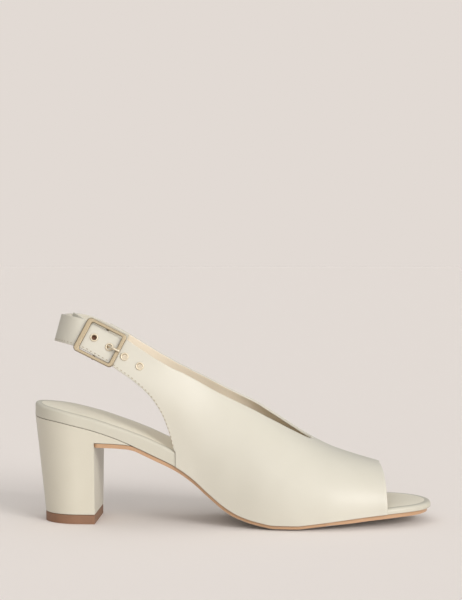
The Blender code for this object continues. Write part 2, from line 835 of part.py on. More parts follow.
def make_slot_cutter(material):
    """Slot in the sling's fold, where the prong wraps the centre bar."""
    half_width = PRONG_RADIUS + 3 * GAP
    reach = PIN_RADIUS + 2 * PRONG_RADIUS + 4 * GAP
    lift = prong_lift()
    low, high = lift - half_width, lift + half_width
    bm = bmesh.new()
    rows = []
    for outward in (-2 * BAR_DEPTH, WALL / 2):
        corners = ((-reach, low), (reach, low), (reach, high), (-reach, high))
        row = [on_buckle(along, outward, upward) for along, upward in corners]
        rows.append(row + row[:1])
    add_grid(bm, rows)
    for row in rows:
        bm.faces.new([bm.verts.new(point) for point in row[:4]])
    return as_cutter(finish_solid("prong_slot", bm, material))


# Assembly


def clear_scene():
    for thing in list(bpy.data.objects):
        bpy.data.objects.remove(thing, do_unlink=True)


def stand_at_origin(pieces):
    """Shift every piece so that the origin lies under the middle of the whole sandal, on the floor."""
    bpy.context.view_layer.update()
    graph = bpy.context.evaluated_depsgraph_get()
    points = []
    for piece in pieces:
        mesh = piece.evaluated_get(graph).to_mesh()
        points += [vertex.co.copy() for vertex in mesh.vertices]
        piece.evaluated_get(graph).to_mesh_clear()
    middle = [(min(p[axis] for p in points) + max(p[axis] for p in points)) / 2 for axis in (0, 1)]
    for thing in bpy.data.objects:
        thing.location = (-middle[0], -middle[1], 0.0)


def main():
    clear_scene()
    leather = paint("cream_leather", (0.78, 0.74, 0.62), 0.45)
    tan = paint("tan_edge", (0.56, 0.32, 0.18), 0.5)
    brown = paint("brown_rubber", (0.24, 0.13, 0.08), 0.6)
    lining = paint("lining", (0.62, 0.56, 0.45), 0.6)
    gold = paint("pale_gold", (0.85, 0.70, 0.42), 0.2, 1.0)
    pieces = [
        make_outsole(tan),
        make_footbed(leather),
        make_sock(lining),
        make_heel_block(leather),
        make_top_piece(brown),
        make_upper(leather, make_hole_cutter(gold)),
        make_sling(leather, make_slot_cutter(gold)),
        make_buckle(gold),
        make_prong(gold),
    ]
    for number, distance in enumerate(eyelet_distances(), 1):
        pieces.append(make_eyelet(number, distance, gold))
    stand_at_origin(pieces)


if __name__ == "__main__":
    main()
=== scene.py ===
"""Slingback sandal: finer pieces, finish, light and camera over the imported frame.

Design axes: X runs from the back of the heel seat to the toe, Y from the outer (lateral, negative) to the
inner (medial, positive) side, Z up from the floor. Every piece is built in them and then shifted to the row's
frame.
"""
import bisect
import math

import bmesh
import bpy
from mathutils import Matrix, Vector


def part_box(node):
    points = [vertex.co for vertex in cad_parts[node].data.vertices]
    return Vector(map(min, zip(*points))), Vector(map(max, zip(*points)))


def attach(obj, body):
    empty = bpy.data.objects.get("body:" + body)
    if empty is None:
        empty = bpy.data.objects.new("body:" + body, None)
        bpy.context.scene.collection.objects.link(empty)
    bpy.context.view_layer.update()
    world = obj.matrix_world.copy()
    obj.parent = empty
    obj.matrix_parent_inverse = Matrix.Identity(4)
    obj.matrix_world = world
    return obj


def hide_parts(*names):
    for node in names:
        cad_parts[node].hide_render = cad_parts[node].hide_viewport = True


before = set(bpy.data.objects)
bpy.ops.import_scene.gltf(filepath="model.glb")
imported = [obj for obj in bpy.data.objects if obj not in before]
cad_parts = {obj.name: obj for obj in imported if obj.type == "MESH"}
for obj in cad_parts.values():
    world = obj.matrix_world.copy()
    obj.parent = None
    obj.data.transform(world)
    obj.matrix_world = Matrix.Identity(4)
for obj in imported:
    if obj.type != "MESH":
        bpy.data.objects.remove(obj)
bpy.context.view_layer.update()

MM = 0.001

# Main sizes of the sandal
LENGTH = 240 * MM
BALL_WIDTH = 80 * MM
HEEL_RISE = 60.6 * MM
TOE_SPRING = 5.8 * MM
INSTEP = 47 * MM
GAP = 0.3 * MM

# Sole, footbed and sock
OUTSOLE_T = 2.7 * MM
OUTSOLE_INSET = 1.0 * MM
OUTSOLE_TOE_SETBACK = 2.0 * MM
RAND_TOE = 3.4 * MM
RAND_WAIST = 8.8 * MM
RIM_RADIUS = 1.9 * MM
HEEL_ROUND = 27 * MM
TOE_ROUND = 32 * MM
SOCK_T = 0.7 * MM
SOCK_INSET = 2.6 * MM
RAND_STEP = 1.2 * MM
END_STATIONS = 20
MIDDLE_STATIONS = 90

# Heel
BREAST_X = 0.1608 * LENGTH
WEDGE_T = 7.2 * MM
HEEL_TREAD_SHIFT = 6.4 * MM
HEEL_TREAD_SHARE = 0.79
TOP_PIECE_T = 5.4 * MM
HEEL_CORNER = 2.5 * MM
TONGUE_TIP = 0.250

# Upper
WALL = 1.6 * MM
QUARTER_BACK_X = 0.3642 * LENGTH
OPENING_X = 0.8817 * LENGTH
RIDGE_Y = 1.5 * MM
SQUARENESS = 0.8

# Sling, tab and buckle
STRAP_WIDTH = 15.0 * MM
TAB_EXTRA = 1.7 * MM
SLING_T = 1.3 * MM
SLING_LAP = 12 * MM
SLING_TAIL = 30.5 * MM
SLING_TAIL_LIFT = 2.6 * MM
LOOP_BACK_X = 0.0633 * LENGTH
LOOP_ROUND = 16.6 * MM
LOOP_HALF_WIDTH = 26.5 * MM
LOOP_FLARE = 0.04
STRAP_RISE = 45.5 * MM
STRAP_FALL = 132 * MM
STRAP_BEND_END_X = 0.1667 * LENGTH
STRAP_LEAN = math.radians(15)
STRAP_START_X = 0.2167 * LENGTH
STRAP_PLANE_FULL = 0.2875 * LENGTH
STRAP_PLANE_START = 0.4833 * LENGTH
TAB_REACH = 34 * MM
MEDIAL_BAND_END = -4 * MM
BUCKLE_X = 0.1792 * LENGTH
BUCKLE_TURN = math.radians(2.5)
BUCKLE_DROP = 1.0 * MM
BUCKLE_LENGTH = 25.8 * MM
BUCKLE_WIDTH = 21.8 * MM
BUCKLE_DEPTH = 1.9 * MM
BUCKLE_RAIL = 2.0 * MM
BUCKLE_BACK_BAR = 3.2 * MM
BUCKLE_FRONT_BAR = 2.5 * MM
BUCKLE_CORNER = 2.4 * MM
PIN_RADIUS = 0.8 * MM
BAR_DEPTH = 3.0 * MM
PRONG_RADIUS = 0.7 * MM
PRONG_EYELET_OFFSET = 5.9 * MM
EYELET_PITCH = 10.4 * MM
EYELET_RADIUS = 2.45 * MM
EYELET_BORE = 1.5 * MM
EYELET_WALL = 0.3 * MM
EYELET_COUNT = 4
EYELET_ROW_SLOPE = 0.06

# Plan of the footbed: share of the length, lateral and medial half widths as shares of the ball width
PLAN = (
    (0.00, 0.345, 0.345),
    (0.10, 0.345, 0.345),
    (0.20, 0.350, 0.330),
    (0.30, 0.350, 0.300),
    (0.40, 0.362, 0.280),
    (0.50, 0.430, 0.305),
    (0.60, 0.505, 0.390),
    (0.66, 0.522, 0.435),
    (0.73, 0.505, 0.470),
    (0.80, 0.450, 0.478),
    (0.87, 0.385, 0.468),
    (0.94, 0.350, 0.455),
    (1.00, 0.345, 0.450),
)

# Side view of the footbed's underside: share of the length, share of the heel rise
RISE = (
    (0.000, 1.000),
    (0.068, 0.964),
    (0.120, 0.918),
    (0.155, 0.883),
    (0.206, 0.818),
    (0.244, 0.757),
    (0.305, 0.645),
    (0.365, 0.530),
    (0.405, 0.422),
    (0.447, 0.279),
    (0.490, 0.147),
    (0.518, 0.086),
    (0.548, 0.045),
    (0.578, 0.018),
    (0.608, 0.000),
    (1.000, 0.000),
)

# Toe spring: share of the length, share of the spring
SPRING = (
    (0.667, 0.00),
    (0.713, 0.22),
    (0.780, 0.52),
    (0.850, 0.78),
    (0.920, 0.96),
    (1.000, 1.00),
)

# Rand: share of the length, share of the way from the toe's thickness to the waist's
RAND = (
    (0.00, 0.93),
    (0.05, 0.75),
    (0.10, 0.69),
    (0.20, 0.68),
    (0.25, 0.82),
    (0.30, 0.98),
    (0.36, 1.00),
    (0.42, 0.85),
    (0.50, 0.42),
    (0.56, 0.14),
    (0.62, 0.03),
    (1.00, 0.00),
)

# Tongue of the heel between footbed and outsole: share of the length, share of its thickness
WEDGE = (
    (0.160, 1.00),
    (0.183, 0.79),
    (0.206, 0.55),
    (0.225, 0.35),
    (0.244, 0.13),
    (0.262, 0.00),
)

# Top line of the last: share of the length, share of the instep, share of the heel rise, swell of the side
# beyond the footbed as a share of the ball width
LAST = (
    (0.15, 1.75, 0.88, 0.085),
    (0.25, 1.73, 0.80, 0.070),
    (0.31, 1.71, 0.68, 0.032),
    (0.365, 1.69, 0.55, 0.000),
    (0.46, 1.50, 0.36, 0.000),
    (0.545, 1.335, 0.20, 0.000),
    (0.595, 1.245, 0.11, 0.000),
    (0.66, 1.095, 0.05, 0.000),
    (0.705, 0.996, 0.02, 0.000),
    (0.76, 0.89, 0.00, 0.000),
    (0.81, 0.805, 0.00, 0.000),
    (0.86, 0.73, 0.00, 0.000),
    (0.90, 0.67, 0.00, 0.000),
)

# Ribs of the upper from the toe opening back: rib, upper end's share of the length and of the quarter turn
# from footbed to ridge, lower end's share of the length and of the quarter turn, and how much further the
# medial side's upper end turns
RIBS = (
    (0, 0.868, 1.000, OPENING_X / LENGTH, 0.000, 0.000),
    (1, 0.820, 1.000, 0.834, 0.000, 0.000),
    (2, 0.765, 1.000, 0.770, 0.000, 0.000),
    (3, 0.704, 1.000, 0.700, 0.000, 0.000),
    (4, 0.692, 0.900, 0.684, 0.000, 0.090),
    (5, 0.644, 0.828, 0.618, 0.000, 0.110),
    (6, 0.587, 0.768, 0.545, 0.000, 0.104),
    (7, 0.518, 0.674, 0.474, 0.000, 0.055),
    (8, 0.452, 0.584, 0.412, 0.000, 0.033),
    (9, 0.386, 0.507, QUARTER_BACK_X / LENGTH, 0.000, 0.001),
    (10, 0.348, 0.484, 0.350, 0.078, -0.002),
    (11, 0.317, 0.483, 0.331, 0.170, -0.006),
    (12, 0.290, 0.489, 0.303, 0.235, -0.010),
    (13, 0.267, 0.496, 0.264, 0.272, -0.013),
    (14, 0.245, 0.516, 0.223, 0.304, -0.020),
)

# The row's frame has its origin under the middle of the box: this far from the design's middle line
ROW_SHIFT_Y = 1.73 * MM

# Finer sizes of the scene's own pieces
SOLE_EDGE_RISE = 0.4 * MM
SOLE_BALL_RISE = 1.25 * MM
SOLE_EDGE_REACH = 9.0 * MM
SCENE_GAP = 0.08 * MM
UPPER_PARTS = 26
UPPER_STEPS = 8
STRAP_STEP = 1.2 * MM
RAND_EDGE = 0.25 * MM
HEEL_EDGE = 0.6 * MM
TOP_PIECE_EDGE = 0.3 * MM
LEATHER_EDGE = 0.35 * MM
EYELET_DOME = 0.65 * MM
STITCH_INSET = 1.25 * MM
STITCH_PITCH = 2.65 * MM
THREAD_RADIUS = 0.24 * MM

# Colours, linear
CREAM = (0.545, 0.512, 0.43)
CREAM_SHADE = (0.535, 0.502, 0.42)
# Painted light: the heel is covered in the same cream leather as the upper, made lighter here to stand in for
# the light it gets
HEEL_CREAM_PAINTED_LIGHT = (0.58, 0.540, 0.442)
HEEL_CREAM_PAINTED_LIGHT_SHADE = (0.57, 0.530, 0.432)
# Painted shade: the footbed's rand is the same cream leather as the upper, made darker here to stand in for
# shade
RAND_CREAM_PAINTED_SHADE = (0.51, 0.478, 0.392)
RAND_CREAM_PAINTED_SHADE_DARKER = (0.50, 0.468, 0.382)
# Lining leather: a real cream lining whose colour is painted lighter, to stand in for light bounced inside
# the upper
LINING_PAINTED_LIGHT = (0.80, 0.70, 0.56)
LINING_PAINTED_LIGHT_SHADE = (0.78, 0.68, 0.54)
SOCK = (0.725, 0.672, 0.55)
SOCK_SHADE = (0.705, 0.652, 0.53)
TAN = (0.47, 0.28, 0.155)
TAN_SHADE = (0.44, 0.258, 0.142)
BROWN = (0.235, 0.12, 0.066)
BROWN_SHADE = (0.215, 0.11, 0.06)
UNDERSIDE = (0.46, 0.42, 0.38)
UNDERSIDE_SHADE = (0.43, 0.39, 0.35)
GOLD = (0.30, 0.24, 0.16)
EYELET_GOLD = (0.70, 0.61, 0.46)
# Painted shade: dark brown on the sling under the first two eyelets, standing in for the shadow down these
# holes
HOLE_PAINTED_SHADE = (0.16, 0.08, 0.05)
THREAD = (0.36, 0.30, 0.22)
BACKDROP = (0.760, 0.701, 0.658)

# Studio; key and fills have azimuth, elevation, spread in degrees and its share of the floor's light
FLOOR_REACH = 30.0
FLOOR_LIGHT = 0.92
AMBIENT_LOW = 0.22
STRIP_AZIMUTHS = (0.0, 13.0, 26.0, 39.0, 52.0)
STRIP_ELEVATION = 27.0
STRIP_SPREAD = 16.0
STRIP_SHARE = 0.06
KEY = (40.0, 22.0, 24.0, 0.16)
FRONT_FILL = (-6.0, 16.0, 36.0, 0.06)
SIDE_FILL = (56.0, 6.0, 26.0, 0.03)
SENSOR_WIDTH = 36.0
CAMERA_LENS = 93.82
CAMERA_AT = (0.1555, -0.9493, 0.1585)
CAMERA_SHIFT = -0.06946
CAMERA_YAW = 0.03840


def smooth(table, column, share):
    """Value of one column at a share of the length, on a smooth curve that never overshoots its rows."""
    xs = [row[0] for row in table]
    ys = [row[column] for row in table]
    if share <= xs[0]:
        return ys[0]
    if share >= xs[-1]:
        return ys[-1]
    steps = [(ys[i + 1] - ys[i]) / (xs[i + 1] - xs[i]) for i in range(len(xs) - 1)]
    slopes = [steps[0]]
    for before, after in zip(steps, steps[1:]):
        slopes.append(0.0 if before * after <= 0 else 2 * before * after / (before + after))
    slopes.append(steps[-1])
    i = max(k for k in range(len(xs) - 1) if xs[k] <= share)
    span = xs[i + 1] - xs[i]
    t = (share - xs[i]) / span
    rise = ys[i + 1] - ys[i]
    return (ys[i] + t * t * (3 - 2 * t) * rise
            + t * (1 - t) * span * ((1 - t) * slopes[i] - t * slopes[i + 1]))


def mix(a, b, t):
    return a + (b - a) * t


def blend(t):
    t = min(max(t, 0.0), 1.0)
    return t * t * (3 - 2 * t)


# Heights along the sandal


def seat_line(x):
    """Underside of the footbed."""
    share = x / LENGTH
    return (OUTSOLE_T + GAP + HEEL_RISE * smooth(RISE, 1, share)
            + TOE_SPRING * smooth(SPRING, 1, share))


def sole_top(x):
    return seat_line(x) - GAP - WEDGE_T * smooth(WEDGE, 1, x / LENGTH)


def sole_bottom(x):
    return sole_top(x) - OUTSOLE_T


def bed_top(x):
    return seat_line(x) + mix(RAND_TOE, RAND_WAIST, smooth(RAND, 1, x / LENGTH))


def ridge_line(x):
    """Top line of the last, over instep and toes."""
    share = x / LENGTH
    return INSTEP * smooth(LAST, 1, share) + HEEL_RISE * smooth(LAST, 2, share)


# Plan outline


def end_round(x):
    """Falls from one to nought round the heel seat and the toe."""
    if x < HEEL_ROUND:
        return math.sqrt(max(0.0, 1 - ((HEEL_ROUND - x) / HEEL_ROUND) ** 2))
    toe = (x - (LENGTH - TOE_ROUND)) / TOE_ROUND
    return math.sqrt(max(0.0, 1 - max(0.0, toe) ** 2))


def centre_y(x):
    share = x / LENGTH
    return BALL_WIDTH * (smooth(PLAN, 2, share) - smooth(PLAN, 1, share)) / 2


def edge_y(x, side, inset=0.0):
    """Y of the footbed's edge on the lateral (-1) or medial (+1) side."""
    share = x / LENGTH
    half = BALL_WIDTH * (smooth(PLAN, 1, share) + smooth(PLAN, 2, share)) / 2
    return centre_y(x) + side * max(0.0, half * end_round(x) - inset)


def stations(first=0.0, last=LENGTH, extra=()):
    """Stations along X between two places: closer round heel and toe, shared by all layers of the bottom."""
    found = {first, last, *extra}
    for k in range(END_STATIONS):
        turn = k / END_STATIONS * math.pi / 2
        found.add(HEEL_ROUND * (1 - math.cos(turn)))
        found.add(LENGTH - TOE_ROUND * (1 - math.cos(turn)))
    middle = LENGTH - TOE_ROUND - HEEL_ROUND
    found.update(HEEL_ROUND + middle * k / MIDDLE_STATIONS for k in range(MIDDLE_STATIONS + 1))
    return sorted(x for x in found if first <= x <= last)


ROW_SHIFT = Vector((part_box("footbed")[0].x, ROW_SHIFT_Y, 0.0))


# Meshes


def add_grid(bm, rows):
    """Faces between rows of points; rows may close on themselves by repeating their first point."""
    made = [[bm.verts.new(point) for point in row] for row in rows]
    for low, high in zip(made, made[1:]):
        for k in range(len(low) - 1):
            bm.faces.new((low[k], low[k + 1], high[k + 1], high[k]))


def make_object(name, bm, materials, modifiers=(), sharp=40):
    """Weld the grids into one body, face it outwards and make its object."""
    bmesh.ops.remove_doubles(bm, verts=bm.verts, dist=0.002 * MM)
    bmesh.ops.dissolve_degenerate(bm, edges=bm.edges, dist=0.002 * MM)
    bmesh.ops.recalc_face_normals(bm, faces=bm.faces)
    mesh = bpy.data.meshes.new(name)
    bm.to_mesh(mesh)
    bm.free()
    mesh.shade_smooth()
    mesh.set_sharp_from_angle(angle=math.radians(sharp))
    for material in materials:
        mesh.materials.append(material)
    made = bpy.data.objects.new(name, mesh)
    bpy.context.collection.objects.link(made)
    made.location = ROW_SHIFT
    for kind, settings in modifiers:
        modifier = made.modifiers.new(kind.title(), kind)
        for key, value in settings.items():
            setattr(modifier, key, value)
    return made


def place(made, slot, *nodes):
    """The piece rides on the sandal's one body and stands for its CAD nodes."""
    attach(made, "root")
    if nodes:
        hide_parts(*nodes)
    return made


def rounding(width, segments=3, angle=50):
    return ("BEVEL", {"width": width, "segments": segments, "limit_method": "ANGLE",
                      "angle_limit": math.radians(angle), "harden_normals": False})


def cut_by(cutter):
    return ("BOOLEAN", {"object": cutter, "operation": "DIFFERENCE", "solver": "EXACT"})


def across(a, b, parts=2):
    return [a.lerp(b, k / parts) for k in range(parts + 1)]


def slab(name, xs, rings, materials, edge=edge_y, first=HEEL_ROUND, last=LENGTH - TOE_ROUND):
    """Solid between rings that follow the plan outline; each ring is an inset and a height along X.

    An inset runs towards the spine, a line in the middle of the sole between two places along X.
    """
    loops = []
    for inset, height in rings:
        sides = []
        for side in (-1, 1):
            row = []
            for x in xs:
                rim = Vector((x, edge(x, side)))
                middle_x = min(max(x, first), last)
                middle = Vector((middle_x, centre_y(middle_x)))
                rim = rim.lerp(middle, inset / (middle - rim).length)
                row.append(Vector((rim.x, rim.y, height(rim.x))))
            sides.append(row)
        loops.append(sides)
    bm = bmesh.new()
    for side in (0, 1):
        add_grid(bm, [sides[side] for sides in loops])
    for sides in (loops[0], loops[-1]):
        add_grid(bm, [across(a, b) for a, b in zip(*sides)])
    for end in (0, -1):
        if (loops[0][0][end] - loops[0][1][end]).length > GAP:
            add_grid(bm, [across(sides[0][end], sides[1][end]) for sides in loops])
    return make_object(name, bm, materials)


# Sole, footbed and sock


def outsole_edge(x, side):
    first = BREAST_X
    last = LENGTH - OUTSOLE_TOE_SETBACK
    corner = max(0.0, 1 - (x - first) / HEEL_CORNER)
    inset = OUTSOLE_INSET + HEEL_CORNER * (1 - math.sqrt(1 - corner ** 2))
    shift = OUTSOLE_TOE_SETBACK * blend((x - first) / (last - first))
    return edge_y(x + shift, side, inset if x < last else LENGTH)


def edge_rise(x):
    """How far the underside's edge rounds up, which is most under the ball."""
    share = x / LENGTH
    under_ball = blend((share - 0.48) / 0.08) * blend((0.80 - share) / 0.08)
    return mix(SOLE_EDGE_RISE, SOLE_BALL_RISE, under_ball)


def make_outsole(materials):
    first = BREAST_X
    last = LENGTH - OUTSOLE_TOE_SETBACK
    corner_stations = [first + HEEL_CORNER * (1 - math.cos(k * math.pi / 12)) for k in range(7)]
    rings = []
    for k in range(7):
        turn = k * math.pi / 12
        part = 1 - math.cos(turn)
        inset = SOLE_EDGE_REACH * (1 - math.sin(turn))
        rings.append((inset, lambda x, part=part: sole_bottom(x) + part * edge_rise(x)))
    rings.append((0.0, sole_top))
    xs = stations(first, last, corner_stations)
    made = slab("outsole", xs, rings, materials, outsole_edge)
    for face in made.data.polygons:
        face.material_index = int(face.normal.z < -0.7)
    return made


def rand_inset(x):
    """The rand steps in where the upper covers it."""
    ramp = SCENE_GAP
    behind = blend((x - (QUARTER_BACK_X - SCENE_GAP - ramp)) / ramp)
    ahead = blend(((OPENING_X + SCENE_GAP + ramp) - x) / ramp)
    return RAND_STEP * min(behind, ahead)


def make_footbed(materials):
    rear = QUARTER_BACK_X - SCENE_GAP
    front = OPENING_X + SCENE_GAP
    rings = [(RAND_EDGE, seat_line), (0.0, lambda x: seat_line(x) + RAND_EDGE)]
    steps = 8
    for k in range(steps + 1):
        turn = k * math.pi / 2 / steps
        drop = RIM_RADIUS * (1 - math.sin(turn))
        rings.append((RIM_RADIUS * (1 - math.cos(turn)), lambda x, drop=drop: bed_top(x) - drop))
    xs = stations(extra=(rear - SCENE_GAP, rear, front, front + SCENE_GAP))
    return slab("footbed", xs, rings, materials, lambda x, side: edge_y(x, side, rand_inset(x)))


def make_sock(materials):
    inset = SOCK_INSET + RAND_STEP
    rings = (
        (inset, lambda x: bed_top(x) + SCENE_GAP / 2),
        (inset + 0.2 * SOCK_T, lambda x: bed_top(x) + 0.12 * SOCK_T),
        (inset + 1.5 * SOCK_T, lambda x: bed_top(x) + 0.3 * SOCK_T),
        (inset + 5 * SOCK_T, lambda x: bed_top(x) + 0.65 * SOCK_T),
        (inset + 11 * SOCK_T, lambda x: bed_top(x) + SOCK_T),
    )
    return slab("insole_sock", stations(), rings, materials)


# Heel


def heel_point(x, side, level, top):
    """Point on the heel's side wall: level 0 at the footbed, 1 at the tread end of the block."""
    foot = TOP_PIECE_T + GAP
    z = mix(top, foot, level)
    fall = (seat_line(x) - GAP - z) / (seat_line(x) - GAP - foot)
    shrink = mix(1.0, HEEL_TREAD_SHARE, fall)
    along = x / BREAST_X
    return Vector((x + HEEL_TREAD_SHIFT * fall * (1 - along), edge_y(x, side, GAP) * shrink, z))


def tongue_point(x, side, z):
    """Point on the side of the heel's thin forward tongue, which carries on the heel's taper."""
    y = heel_point(x, side, 0.0, z).y
    return Vector((x, y, z))


def make_heel_block(materials):
    xs = stations(0.0, BREAST_X)
    levels = [k / 10 for k in range(11)]
    top = {x: seat_line(x) - GAP for x in xs}
    shelf = {x: top[x] - WEDGE_T + GAP for x in xs}
    bm = bmesh.new()
    for side in (-1, 1):
        rows = [[heel_point(x, side, 0.0, top[x]) for x in xs]]
        rows += [[heel_point(x, side, level, shelf[x]) for x in xs] for level in levels]
        add_grid(bm, rows)
    add_grid(bm, [across(heel_point(x, -1, 0.0, top[x]), heel_point(x, 1, 0.0, top[x])) for x in xs])
    add_grid(bm, [across(heel_point(x, -1, 1.0, shelf[x]), heel_point(x, 1, 1.0, shelf[x])) for x in xs])
    breast = xs[-1]
    add_grid(bm, [across(heel_point(breast, -1, level, shelf[breast]),
                         heel_point(breast, 1, level, shelf[breast])) for level in levels])
    tip = TONGUE_TIP * LENGTH
    upper_rows = []
    lower_rows = []
    for x in stations(breast, tip):
        high = seat_line(x) - GAP
        low = shelf[breast] if x == breast else min(high, sole_top(x) + GAP)
        upper_rows.append(across(tongue_point(x, -1, high), tongue_point(x, 1, high)))
        lower_rows.append(across(tongue_point(x, -1, low), tongue_point(x, 1, low)))
    add_grid(bm, upper_rows)
    add_grid(bm, lower_rows)
    add_grid(bm, [[row[0] for row in upper_rows], [row[0] for row in lower_rows]])
    add_grid(bm, [[row[-1] for row in upper_rows], [row[-1] for row in lower_rows]])
    add_grid(bm, [upper_rows[-1], lower_rows[-1]])
    return make_object("heel_block", bm, materials, [rounding(HEEL_EDGE)])


def make_top_piece(materials):
    xs = stations(0.0, BREAST_X)
    foot = TOP_PIECE_T + GAP
    bm = bmesh.new()
    loops = []
    for z in (0.0, TOP_PIECE_T):
        loop = []
        for side in (-1, 1):
            points = [heel_point(x, side, 1.0, foot) for x in xs]
            for point in points:
                point.z = z
            loop.append(points)
        loops.append(loop)
    for low, high in zip(loops[0], loops[1]):
        add_grid(bm, [low, high])
    for loop in loops:
        add_grid(bm, [across(a, b) for a, b in zip(loop[0], loop[1])])
    add_grid(bm, [across(loop[0][-1], loop[1][-1]) for loop in loops])
    return make_object("heel_top_piece", bm, materials, [rounding(TOP_PIECE_EDGE)])


# Loop of the strap round the ankle


def walk_loop():
    """Distances walked from the back of the loop, by equal turns up to its straight sides."""
    count = 400
    step = math.pi / 2 / count
    walked = [0.0]
    for k in range(count):
        angle = (k + 0.5) * step
        speed = math.hypot(LOOP_ROUND * math.sin(angle), LOOP_HALF_WIDTH * math.cos(angle))
        walked.append(walked[-1] + speed * step)
    return walked


LOOP_WALK = walk_loop()


def loop_plan(distance):
    """Point and heading of the loop in plan, by the distance from the back; positive is the lateral side."""
    side = -1 if distance >= 0 else 1
    distance = abs(distance)
    centre_x = LOOP_BACK_X + LOOP_ROUND
    if distance >= LOOP_WALK[-1]:
        on = distance - LOOP_WALK[-1]
        heading = Vector((1.0, LOOP_FLARE * side)).normalized()
        return Vector((centre_x + on, side * (LOOP_HALF_WIDTH + LOOP_FLARE * on))), heading, side
    k = bisect.bisect_right(LOOP_WALK, distance) - 1
    part = (distance - LOOP_WALK[k]) / (LOOP_WALK[k + 1] - LOOP_WALK[k])
    angle = (k + part) / (len(LOOP_WALK) - 1) * math.pi / 2
    heading = Vector((LOOP_ROUND * math.sin(angle), side * LOOP_HALF_WIDTH * math.cos(angle)))
    heading.normalize()
    point = Vector((centre_x - LOOP_ROUND * math.cos(angle), side * LOOP_HALF_WIDTH * math.sin(angle)))
    return point, heading, side


def loop_height(x):
    """Height of the strap's centre line: level behind the heel, then bending down to a straight fall.

    The straight part would fall by a named height over the whole length.
    """
    bend = STRAP_BEND_END_X - LOOP_BACK_X
    along = max(0.0, x - LOOP_BACK_X)
    fall = along ** 2 / (2 * bend) if along < bend else along - bend / 2
    return bed_top(0.0) + STRAP_RISE - STRAP_FALL * fall / LENGTH


def loop_frame(distance):
    """Centre, heading, outward normal and upward vector of the strap."""
    place_now, heading, side = loop_plan(distance)
    ahead, unused_heading, unused_side = loop_plan(distance + (0.5 * MM if distance >= 0 else -0.5 * MM))
    centre = Vector((place_now.x, place_now.y, loop_height(place_now.x)))
    after = Vector((ahead.x, ahead.y, loop_height(ahead.x)))
    forward = (after - centre).normalized()
    flat_out = Vector((-heading.y, heading.x, 0.0)) * side
    up = (Vector((0, 0, 1)) - forward * forward.z).normalized()
    out = (flat_out - forward * flat_out.dot(forward)).normalized()
    lean_up = up * math.cos(STRAP_LEAN) - out * math.sin(STRAP_LEAN)
    lean_out = out * math.cos(STRAP_LEAN) + up * math.sin(STRAP_LEAN)
    return centre, forward, lean_out, lean_up


def loop_distance(x):
    """Distance along the loop, from the back, at which its side reaches X."""
    centre_x = LOOP_BACK_X + LOOP_ROUND
    if x >= centre_x:
        return LOOP_WALK[-1] + (x - centre_x)
    turn = math.acos((centre_x - x) / LOOP_ROUND) / (math.pi / 2) * (len(LOOP_WALK) - 1)
    k = min(int(turn), len(LOOP_WALK) - 2)
    return mix(LOOP_WALK[k], LOOP_WALK[k + 1], turn - k)


# Upper


def last_point(x, turn, side):
    """Point on the last: turn 0 at the footbed's edge, 1 on the ridge."""
    angle = turn * math.pi / 2
    base = edge_y(x, side, RAND_STEP - GAP) + side * BALL_WIDTH * smooth(LAST, 3, x / LENGTH)
    spread = max(0.0, math.cos(angle)) ** SQUARENESS
    y = RIDGE_Y + (base - RIDGE_Y) * spread
    z = mix(bed_top(x), ridge_line(x), math.sin(angle))
    return Vector((x, y, z))


def quarter_point(x, turn, side):
    """Point on the last, brought onto the plane of the strap as it nears the ankle."""
    point = last_point(x, turn, side)
    near = blend((STRAP_PLANE_START - x) / (STRAP_PLANE_START - STRAP_PLANE_FULL)) * blend(turn / 0.3)
    if near == 0:
        return point
    centre, unused_forward, out, unused_up = loop_frame(-side * loop_distance(x))
    height = STRAP_WIDTH * math.tanh((point.z - centre.z) / STRAP_WIDTH)
    flat = centre.y - out.z * height / out.y
    return Vector((x, mix(point.y, flat, near), point.z))


def corner_rib():
    """The last rib whose lower end stands on the footbed's edge."""
    return max(row[0] for row in RIBS if row[4] == 0)


def rib(number, side, parts):
    """Points of one rib of the quarter or vamp, from its lower to its upper end; the first one curves."""
    high_x, high_turn, low_x, low_turn, medial_turn = (smooth(RIBS, k, number) for k in range(1, 6))
    high_turn += medial_turn if side > 0 else 0.0
    points = []
    for k in range(parts + 1):
        t = k / parts
        along = 1 - math.cos(t * math.pi / 2) if number < 1 else t
        x = mix(low_x, high_x, mix(along, t, min(number, 1))) * LENGTH
        points.append(quarter_point(x, mix(low_turn, high_turn, t), side))
    return points


def strap_rib(distance, parts):
    """Points across the tab, which reaches a little further down than the sling."""
    centre, unused_forward, unused_out, up = loop_frame(distance)
    low = -STRAP_WIDTH / 2 - TAB_EXTRA
    return [centre + up * mix(low, STRAP_WIDTH / 2, k / parts) for k in range(parts + 1)]


def upper_side(side, reach):
    """Ribs of one side: vamp, quarter and the band beside the ankle, which ends at a distance on the loop."""
    count = UPPER_STEPS * (len(RIBS) - 1)
    rows = [rib(k / UPPER_STEPS, side, UPPER_PARTS) for k in range(count + 1)]
    start = loop_distance(STRAP_START_X)
    count = round((start - reach) / STRAP_STEP)
    for k in range(count + 1):
        rows.append(strap_rib(-side * mix(start, reach, k / count), UPPER_PARTS))
    return rows


def side_reaches():
    buckle = loop_distance(BUCKLE_X)
    return (-1, buckle - TAB_REACH), (1, buckle + MEDIAL_BAND_END)


def make_upper(materials, cutter):
    bm = bmesh.new()
    for side, reach in side_reaches():
        rows = upper_side(side, reach)
        add_grid(bm, rows)
        skirt = []
        for row in rows[:UPPER_STEPS * corner_rib() + 1]:
            foot = Vector((row[0].x, row[0].y, seat_line(row[0].x)))
            skirt.append([foot.lerp(row[0], k / 6) for k in range(7)])
        add_grid(bm, skirt)
    # The inside faces take the second material: the lining leather, painted lighter to stand in for light
    # bounced inside the upper
    wall = ("SOLIDIFY", {"thickness": WALL, "offset": 1.0, "use_even_offset": True, "use_rim": True,
                         "material_offset": 1})
    return make_object("upper", bm, materials, (wall, rounding(LEATHER_EDGE, 3, 60), cut_by(cutter)))


# Stitching


